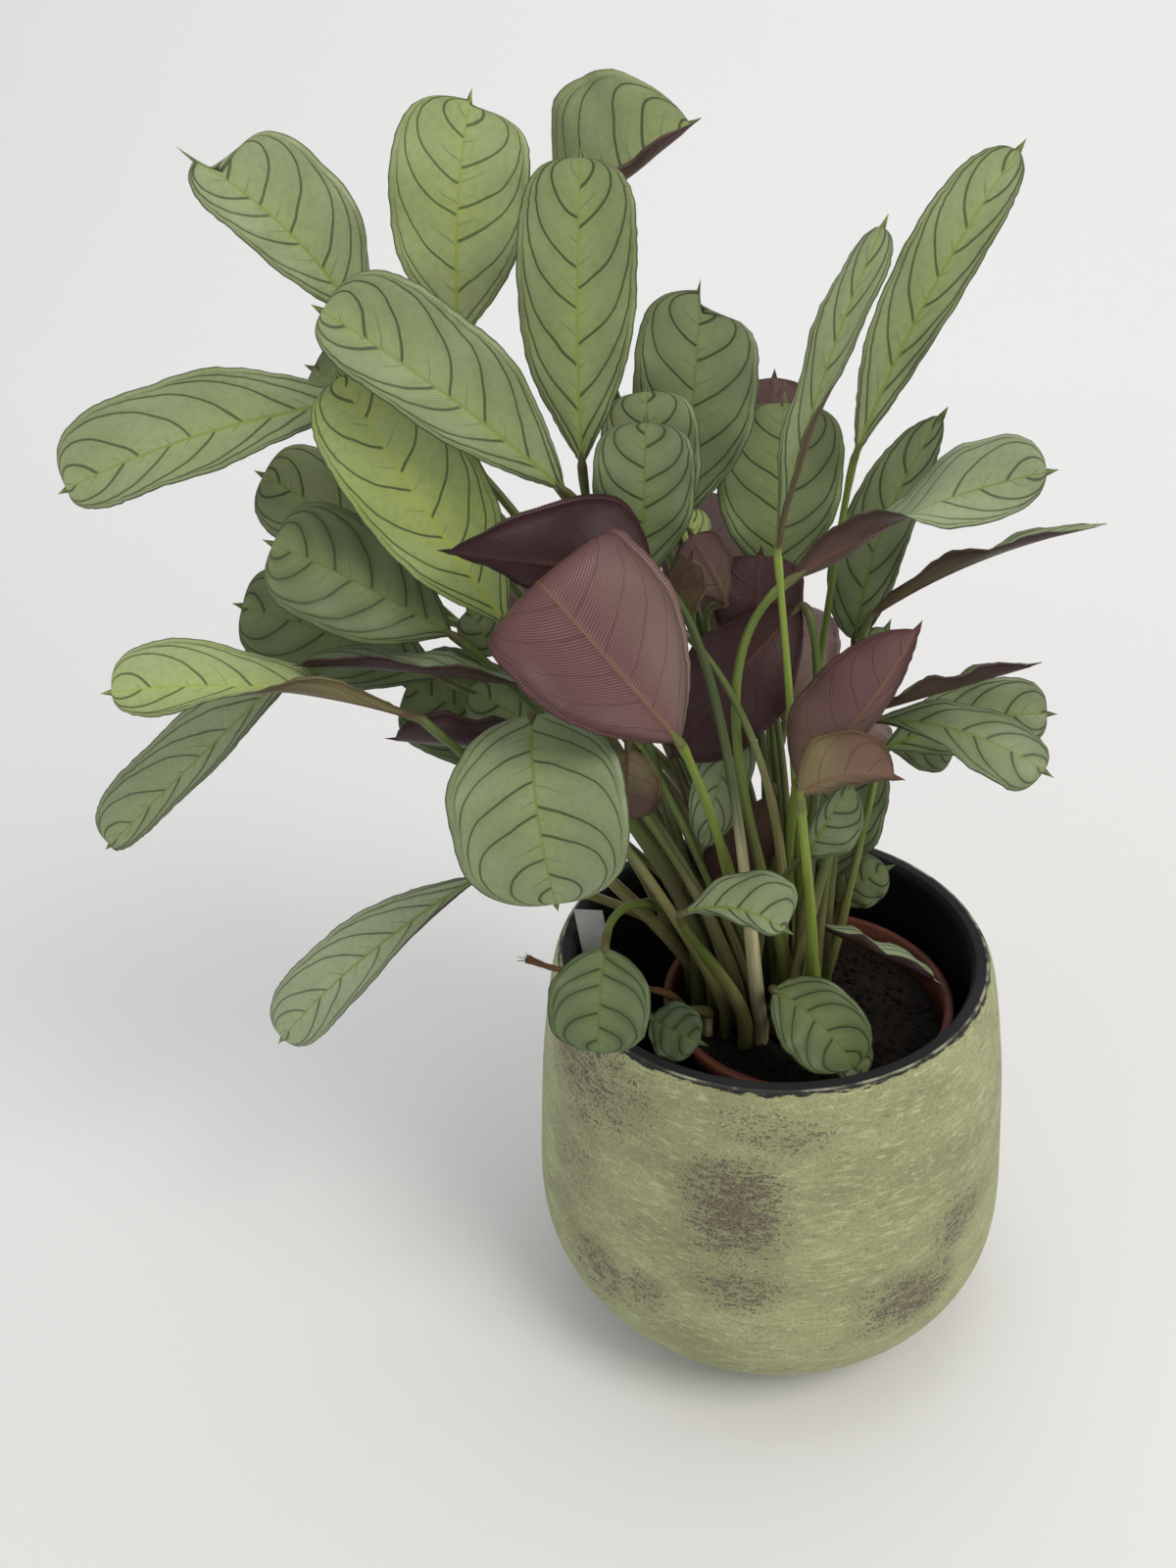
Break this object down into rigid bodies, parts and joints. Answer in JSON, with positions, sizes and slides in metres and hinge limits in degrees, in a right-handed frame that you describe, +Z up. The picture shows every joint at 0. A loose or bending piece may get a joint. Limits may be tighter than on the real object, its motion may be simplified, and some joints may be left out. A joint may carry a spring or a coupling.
{
  "type": "potted fishbone prayer plant",
  "caption": "Bushy prayer plant with silvery green fishbone-striped leaves on long stalks, in a plastic growing pot inside a round weathered green ceramic cover pot.",
  "frame": {"origin": "centre of the cover pot's foot, on the surface that it stands on", "axes": "+Z up along the cover pot's axis, +X to the viewer's right and -Y toward the viewer"},
  "size_m": [0.3846, 0.2262, 0.5034],
  "materials": {
    "weathered_ceramic": "matte lime-sage glaze, brushed and weathered, with a charcoal rim and inside",
    "terracotta_plastic": "thin red-brown plastic",
    "potting_soil": "dark fibrous peat",
    "label_plastic": "bare pale plastic strip",
    "dry_stalk": "dry brown plant fibre",
    "leaf": "satin grey-green leaf with dark green curved stripes, wine purple underneath",
    "young_leaf": "satin yellow-green young leaf with dark green curved stripes",
    "leaf_underside": "satin wine purple leaf underside with fine side veins"
  },
  "bodies": {
    "root": {"cover_pot": "weathered_ceramic", "nursery_pot": "terracotta_plastic", "soil": "potting_soil", "plant_label": "label_plastic", "dried_stub": "dry_stalk", "leaf_01": "leaf", "leaf_02": "young_leaf", "leaf_03": "leaf", "leaf_04": "leaf", "leaf_05": "leaf", "leaf_06": "leaf", "leaf_07": "leaf", "leaf_08": "young_leaf", "leaf_09": "leaf", "leaf_10": "leaf", "leaf_11": "leaf", "leaf_12": "young_leaf", "leaf_13": "leaf", "leaf_14": "leaf", "shoot_15_55": "leaf", "leaf_16": "leaf", "leaf_17": "leaf", "leaf_18": "leaf", "leaf_19": "leaf", "leaf_20": "leaf", "leaf_21": "leaf", "shoot_22_23": "leaf", "leaf_24": "leaf", "leaf_25": "leaf", "leaf_26": "leaf", "leaf_27": "leaf", "leaf_28": "leaf", "leaf_29": "leaf", "shoot_30_54": "leaf", "leaf_31": "leaf", "leaf_32": "leaf", "leaf_33": "leaf", "leaf_34": "leaf", "leaf_35": "young_leaf", "leaf_36": "leaf", "leaf_37": "leaf", "leaf_38": "leaf", "leaf_39": "leaf", "leaf_40": "leaf", "leaf_41": "leaf_underside", "leaf_42": "leaf_underside", "shoot_43_50": "leaf", "leaf_44": "leaf_underside", "shoot_45_53": "leaf", "leaf_46": "leaf_underside", "leaf_47": "leaf_underside", "leaf_48": "leaf_underside", "leaf_49": "leaf", "shoot_51_52": "leaf", "shoot_56_57": "leaf", "shoot_58_59": "leaf", "shoot_60_61": "leaf", "shoot_62_63": "leaf"}
  },
  "joints": []
}
